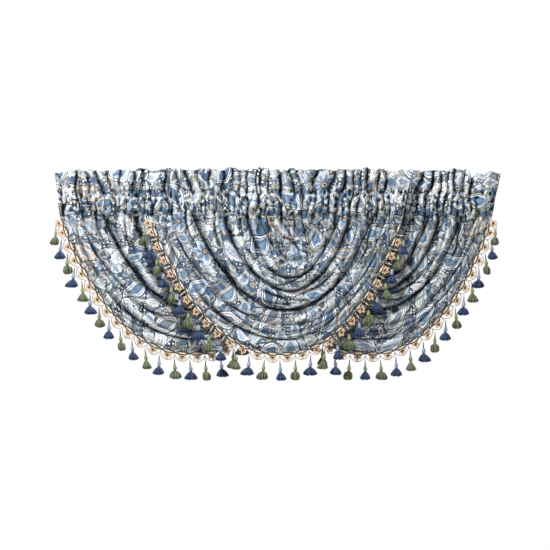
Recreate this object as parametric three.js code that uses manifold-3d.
// A waterfall valance: three gathered panels that share a double rod, the centre one in front.
// Millimetres, +Z up, +X to the right, the face of the cloth looks along -Y.
// The origin is the middle of the centre panel's top edge.

import * as THREE from "three";
import { mergeVertices } from "three/addons/utils/BufferGeometryUtils.js";
import Module from "manifold-3d";

const wasm = await Module();
wasm.setup();

// Driving sizes
const PANEL_PITCH = 362;
const ROD_SPACING = 54.7;
const LEFT_PANEL_FORWARD = 0.9;
const CLOTH_THICKNESS = 1.5;
const UPPER_STITCH_Z = -92;
const LOWER_STITCH_Z = -188;
const OUTER_LEFT = 516;
const OUTER_RIGHT = 500;
const INNER_EDGE_FROM_MIDDLE = 60;

// The bend of the folds: the side falls slowly first and turns in a round bottom.
const SIDE_POWER = 0.92;
const TUCKED_SIDE_POWER = 0.5;
const DROP_POWER = 1.74;
const BELLY_POWER = 0.7;
const COLUMNS_ACROSS = 24;

// One row for each fold line of a panel, from the middle outwards. left and right are where the line
// leaves the lower stitch line, middle is where its bottom lies, drop is how far the bottom hangs under
// the stitch line. gather is how far it stands forward at the stitch line and belly at its bottom.
// leftTip and rightTip are the height of the heading above the origin over each end.
const FOLD_LINES = [
  { name: "top lap", left: 28, right: 80, middle: 30, drop: 84, gather: 5, belly: 15, leftTip: 2, rightTip: 0 },
  { name: "top dip", left: 56, right: 120, middle: 32, drop: 146, gather: -5, belly: 8, leftTip: -4, rightTip: -4 },
  { name: "first roll", left: 80, right: 160, middle: 34, drop: 216, gather: 6, belly: 25, leftTip: 0, rightTip: -2 },
  { name: "first crease", left: 108, right: 200, middle: 36, drop: 242, gather: -6, belly: 7, leftTip: -6, rightTip: -4 },
  { name: "second roll", left: 136, right: 228, middle: 38, drop: 280, gather: 6, belly: 28, leftTip: 2, rightTip: 0 },
  { name: "second crease", left: 168, right: 256, middle: 42, drop: 297, gather: -6, belly: 9, leftTip: -4, rightTip: -5 },
  { name: "third roll", left: 190, right: 304, middle: 52, drop: 342, gather: 6, belly: 34, leftTip: 0, rightTip: 2 },
  { name: "third crease", left: 214, right: 360, middle: 56, drop: 360, gather: -6, belly: 10, leftTip: -8, rightTip: -4 },
  { name: "fourth roll", left: 270, right: 396, middle: 50, drop: 412, gather: 7, belly: 34, leftTip: 2, rightTip: -12 },
  { name: "fourth crease", left: 326, right: 424, middle: 40, drop: 430, gather: -6, belly: 14, leftTip: -3, rightTip: -24 },
  { name: "fifth roll", left: 398, right: 446, middle: 30, drop: 478, gather: 7, belly: 29, leftTip: 3, rightTip: -6 },
  { name: "fifth crease", left: 460, right: 462, middle: 22, drop: 498, gather: -5, belly: 13, leftTip: -5, rightTip: -2 },
  { name: "lower roll", left: 486, right: 476, middle: 16, drop: 526, gather: 4, belly: 19, leftTip: 0, rightTip: -3 },
  { name: "hem stitching", left: 501, right: 486, middle: 12, drop: 542, gather: 0, belly: 12, leftTip: -2, rightTip: -3 },
  { name: "hem", left: OUTER_LEFT, right: OUTER_RIGHT, middle: 12, drop: 556, gather: 0, belly: 12, leftTip: -4, rightTip: -4 },
];
const TOP_MIDDLE = { x: 26, gather: -4, tip: -3 };
const HEM = FOLD_LINES.length - 1;

// The section of the pocket and heading, from the lower stitch line up. depth is half the distance
// between its front and back layers, gather scales the gathers and spread widens the heading.
const HEADING_SECTION = [
  { name: "lower stitching", z: LOWER_STITCH_Z, depth: 2.5, gather: 1, spread: 1, tip: 0 },
  { name: "under the rod", z: -165, depth: 24, gather: 0.35, spread: 1.004, tip: 0 },
  { name: "over the rod", z: -115, depth: 24, gather: 0.35, spread: 1.012, tip: 0 },
  { name: "upper stitching", z: UPPER_STITCH_Z, depth: 2.5, gather: 1, spread: 1.018, tip: 0 },
  { name: "ruffle", z: -48, depth: 3.5, gather: 1.3, spread: 1.028, tip: 0.3 },
  { name: "ruffle top", z: -5, depth: 2.5, gather: 1.4, spread: 1.036, tip: 1 },
];
const TOP_FOLD = { z: -2, depth: 0, gather: 1.4, spread: 1.037, tip: 1 };

// The fringe: a flat header sewn over the hem, and tassels along its lower edge.
const FRINGE_START_DROP = 26;
const HEADER_OVERLAP = 0.72;
const HEADER_HANG = 26;
const HEADER_THICKNESS = 3;
const SEAT_GAP = 0.4;
const TASSEL_PITCH = 62.6;
const FIRST_TASSEL = 12;
const TASSEL_SIDES = 6;
const SMALL_TASSEL = 0.72;
const TASSEL_PROFILE = [
  { name: "cord", radius: 1.4, z: 5 },
  { name: "head", radius: 7, z: -32 },
  { name: "neck", radius: 3.5, z: -43 },
  { name: "skirt top", radius: 14, z: -52 },
  { name: "skirt hem", radius: 20, z: -77 },
];

const PANELS = [
  { name: "left", x: -PANEL_PITCH, y: ROD_SPACING - LEFT_PANEL_FORWARD, tucked: "right" },
  { name: "centre", x: 0, y: 0, tucked: "none" },
  { name: "right", x: PANEL_PITCH, y: ROD_SPACING, tucked: "left" },
];

const printedCloth = new THREE.MeshStandardMaterial({ color: 0x8593a0, roughness: 0.8, metalness: 0 });
const fringeThread = new THREE.MeshStandardMaterial({ color: 0x7f8560, roughness: 0.85, metalness: 0 });

// Both outer panels are tucked behind the centre one, so their inner halves are drawn in.
function sideShape(panel, side) {
  const outer = side === "left" ? OUTER_LEFT : OUTER_RIGHT;
  if (panel.tucked !== side) {
    return { scale: 1, power: SIDE_POWER };
  }
  return { scale: (PANEL_PITCH - INNER_EDGE_FROM_MIDDLE) / outer, power: TUCKED_SIDE_POWER };
}

// A point of a fold line: turn goes from 0 at its left end through 0.5 at the bottom to 1 at its right end.
function foldPoint(panel, line, turn) {
  const angle = Math.PI * turn;
  const side = turn <= 0.5 ? "left" : "right";
  const shape = sideShape(panel, side);
  const reach = Math.abs(Math.cos(angle)) ** shape.power;
  const end = side === "left" ? -line.left * shape.scale : line.right * shape.scale;
  const fall = Math.sin(angle) ** DROP_POWER;
  const forwardTop = HEADING_SECTION[0].depth + line.gather;
  const forward = forwardTop + (line.belly - forwardTop) * Math.sin(angle) ** BELLY_POWER;
  return new THREE.Vector3(
    panel.x + line.middle + (end - line.middle) * reach,
    panel.y - forward,
    LOWER_STITCH_Z - line.drop * fall,
  );
}

// The gathers along the top, from the left edge to the right edge.
function gatherColumns(panel) {
  const left = sideShape(panel, "left");
  const right = sideShape(panel, "right");
  const leftColumns = FOLD_LINES.map((line) => ({ x: -line.left * left.scale, gather: line.gather, tip: line.leftTip }));
  const rightColumns = FOLD_LINES.map((line) => ({ x: line.right * right.scale, gather: line.gather, tip: line.rightTip }));
  return [...leftColumns.reverse(), TOP_MIDDLE, ...rightColumns];
}

function headingPoint(panel, column, section, face) {
  return new THREE.Vector3(
    panel.x + column.x * section.spread,
    panel.y - face * section.depth - section.gather * column.gather,
    section.z + section.tip * column.tip,
  );
}

// The middle surface of a panel: the fold lines, then the rows of the pocket and heading, front and back.
function panelSurface(panel) {
  const points = [];
  const triangles = [];
  const addPoint = (point) => points.push(point) - 1;
  const addQuad = (a, b, c, d) => triangles.push([a, b, c], [a, c, d]);

  const columns = gatherColumns(panel);
  const apex = addPoint(headingPoint(panel, TOP_MIDDLE, HEADING_SECTION[0], 1));
  const foldRows = FOLD_LINES.map((line) =>
    Array.from({ length: COLUMNS_ACROSS + 1 }, (_, step) => addPoint(foldPoint(panel, line, step / COLUMNS_ACROSS))),
  );
  for (let step = 0; step < COLUMNS_ACROSS; step += 1) {
    triangles.push([apex, foldRows[0][step], foldRows[0][step + 1]]);
  }
  for (let row = 0; row < HEM; row += 1) {
    for (let step = 0; step < COLUMNS_ACROSS; step += 1) {
      const inner = foldRows[row];
      const outer = foldRows[row + 1];
      addQuad(inner[step], outer[step], outer[step + 1], inner[step + 1]);
    }
  }

  const leftEnds = foldRows.map((row) => row[0]).reverse();
  const rightEnds = foldRows.map((row) => row[COLUMNS_ACROSS]);
  const rows = [[...leftEnds, apex, ...rightEnds]];
  const addRow = (section, face) =>
    rows.push(columns.map((column) => addPoint(headingPoint(panel, column, section, face))));
  HEADING_SECTION.slice(1).forEach((section) => addRow(section, 1));
  addRow(TOP_FOLD, 1);
  [...HEADING_SECTION].reverse().forEach((section) => addRow(section, -1));
  for (let row = 0; row < rows.length - 1; row += 1) {
    for (let column = 0; column < columns.length - 1; column += 1) {
      const lower = rows[row];
      const upper = rows[row + 1];
      addQuad(lower[column], lower[column + 1], upper[column + 1], upper[column]);
    }
  }
  return { points, triangles };
}

// Gives a surface its thickness and closes its rim, as one solid sheet.
function sheetSolid({ points, triangles }, thickness) {
  const normals = points.map(() => new THREE.Vector3());
  for (const triangle of triangles) {
    const [a, b, c] = triangle.map((index) => points[index]);
    const faceNormal = b.clone().sub(a).cross(c.clone().sub(a));
    triangle.forEach((index) => normals[index].add(faceNormal));
  }
  normals.forEach((normal) => normal.normalize());

  const count = points.length;
  const front = points.map((point, index) => point.clone().addScaledVector(normals[index], thickness / 2));
  const back = points.map((point, index) => point.clone().addScaledVector(normals[index], -thickness / 2));
  const faces = triangles.flatMap(([a, b, c]) => [[a, b, c], [a + count, c + count, b + count]]);
  const edges = new Set(triangles.flatMap(([a, b, c]) => [`${a} ${b}`, `${b} ${c}`, `${c} ${a}`]));
  for (const edge of edges) {
    const [from, to] = edge.split(" ").map(Number);
    if (!edges.has(`${to} ${from}`)) {
      faces.push([to, from, from + count], [to, from + count, to + count]);
    }
  }
  return solidGeometry([...front, ...back], faces);
}

function solidGeometry(points, faces) {
  const geometry = new THREE.BufferGeometry();
  geometry.setAttribute("position", new THREE.Float32BufferAttribute(points.flatMap((point) => point.toArray()), 3));
  geometry.setIndex(faces.flat());
  geometry.computeVertexNormals();
  return geometry;
}

// The turn of the hem line at which it hangs a given drop under the lower stitch line.
function hemTurnAtDrop(drop) {
  return Math.asin((drop / FOLD_LINES[HEM].drop) ** (1 / DROP_POWER)) / Math.PI;
}

// The header's two edges: one over the hem stitching and one hanging free below the hem. It follows the
// cloth's own facets, so it lies flat on them all along.
function headerEdges(panel) {
  const startTurn = hemTurnAtDrop(FRINGE_START_DROP);
  const atTurn = (line, turn) => {
    const step = Math.min(Math.floor(turn * COLUMNS_ACROSS), COLUMNS_ACROSS - 1);
    const from = foldPoint(panel, line, step / COLUMNS_ACROSS);
    const to = foldPoint(panel, line, (step + 1) / COLUMNS_ACROSS);
    return from.lerp(to, turn * COLUMNS_ACROSS - step);
  };
  const turns = [startTurn];
  for (let step = 0; step <= COLUMNS_ACROSS; step += 1) {
    const turn = step / COLUMNS_ACROSS;
    if (turn > startTurn && turn < 1 - startTurn) {
      turns.push(turn);
    }
  }
  turns.push(1 - startTurn);
  return turns.map((turn) => {
    const hem = atTurn(FOLD_LINES[HEM], turn);
    const stitching = atTurn(FOLD_LINES[HEM - 1], turn);
    const inwards = stitching.clone().sub(hem);
    const upper = hem.clone().addScaledVector(inwards, HEADER_OVERLAP);
    const lower = hem.clone().addScaledVector(inwards.setY(0).normalize(), -HEADER_HANG);
    return { upper, lower };
  });
}

function headerGeometry(edges) {
  const backStep = -(CLOTH_THICKNESS / 2 + SEAT_GAP);
  const frontStep = backStep - HEADER_THICKNESS;
  const shifted = (point, step) => point.clone().add(new THREE.Vector3(0, step, 0));
  const points = edges.flatMap(({ upper, lower }) => [
    shifted(upper, frontStep),
    shifted(lower, frontStep),
    shifted(lower, backStep),
    shifted(upper, backStep),
  ]);
  const faces = [];
  for (let ring = 0; ring < edges.length - 1; ring += 1) {
    for (let side = 0; side < 4; side += 1) {
      const a = ring * 4 + side;
      const b = ring * 4 + ((side + 1) % 4);
      faces.push([a, b, b + 4], [a, b + 4, a + 4]);
    }
  }
  const last = (edges.length - 1) * 4;
  faces.push([0, 3, 2], [0, 2, 1], [last, last + 1, last + 2], [last, last + 2, last + 3]);
  return solidGeometry(points, faces);
}

function tasselGeometry(scale) {
  const top = TASSEL_PROFILE[0];
  const bottom = TASSEL_PROFILE[TASSEL_PROFILE.length - 1];
  const outline = TASSEL_PROFILE.map(({ radius, z }) => new THREE.Vector2(radius * scale, z));
  const profile = [new THREE.Vector2(0, bottom.z), ...outline.reverse(), new THREE.Vector2(0, top.z)];
  return new THREE.LatheGeometry(profile, TASSEL_SIDES).rotateX(Math.PI / 2);
}

// The points of the header's lower edge from which the tassels hang, a pitch apart from the outer end.
function tasselPlaces(edges, fromRight) {
  const hanging = edges.map(({ lower }) => lower);
  const route = fromRight ? hanging.reverse() : hanging;
  const places = [];
  let next = FIRST_TASSEL;
  let walked = 0;
  for (let index = 1; index < route.length; index += 1) {
    const length = route[index].distanceTo(route[index - 1]);
    while (next <= walked + length) {
      places.push(route[index - 1].clone().lerp(route[index], (next - walked) / length));
      next += TASSEL_PITCH;
    }
    walked += length;
  }
  return places;
}

function toManifold(geometry) {
  const bare = geometry.clone();
  bare.deleteAttribute("normal");
  bare.deleteAttribute("uv");
  const merged = mergeVertices(bare, 1e-3);
  const kept = [];
  for (let corner = 0; corner < merged.index.count; corner += 3) {
    const triangle = [0, 1, 2].map((step) => merged.index.getX(corner + step));
    if (new Set(triangle).size === 3) {
      kept.push(...triangle);
    }
  }
  return new wasm.Manifold(new wasm.Mesh({
    numProp: 3,
    vertProperties: new Float32Array(merged.attributes.position.array),
    triVerts: new Uint32Array(kept),
  }));
}

function toGeometry(solid) {
  const mesh = solid.getMesh();
  const geometry = new THREE.BufferGeometry();
  geometry.setAttribute("position", new THREE.Float32BufferAttribute(mesh.vertProperties, 3));
  geometry.setIndex([...mesh.triVerts]);
  geometry.computeVertexNormals();
  return geometry;
}

function makePanel(panel) {
  const mesh = new THREE.Mesh(sheetSolid(panelSurface(panel), CLOTH_THICKNESS), printedCloth);
  mesh.name = `panel_${panel.name}`;
  return mesh;
}

function makeFringe(panel) {
  const edges = headerEdges(panel);
  const places = tasselPlaces(edges, panel.tucked === "left");
  const headerMiddle = CLOTH_THICKNESS / 2 + SEAT_GAP + HEADER_THICKNESS / 2;
  let comb = toManifold(headerGeometry(edges));
  places.forEach((place, index) => {
    const atAnEnd = index === 0 || index === places.length - 1;
    const tassel = tasselGeometry(atAnEnd ? SMALL_TASSEL : 1);
    tassel.translate(place.x, place.y - headerMiddle, place.z);
    comb = comb.add(toManifold(tassel));
  });
  const mesh = new THREE.Mesh(toGeometry(comb), fringeThread);
  mesh.name = `fringe_${panel.name}`;
  return mesh;
}

const valance = new THREE.Group();
for (const panel of PANELS) {
  valance.add(makePanel(panel), makeFringe(panel));
}

export default valance;
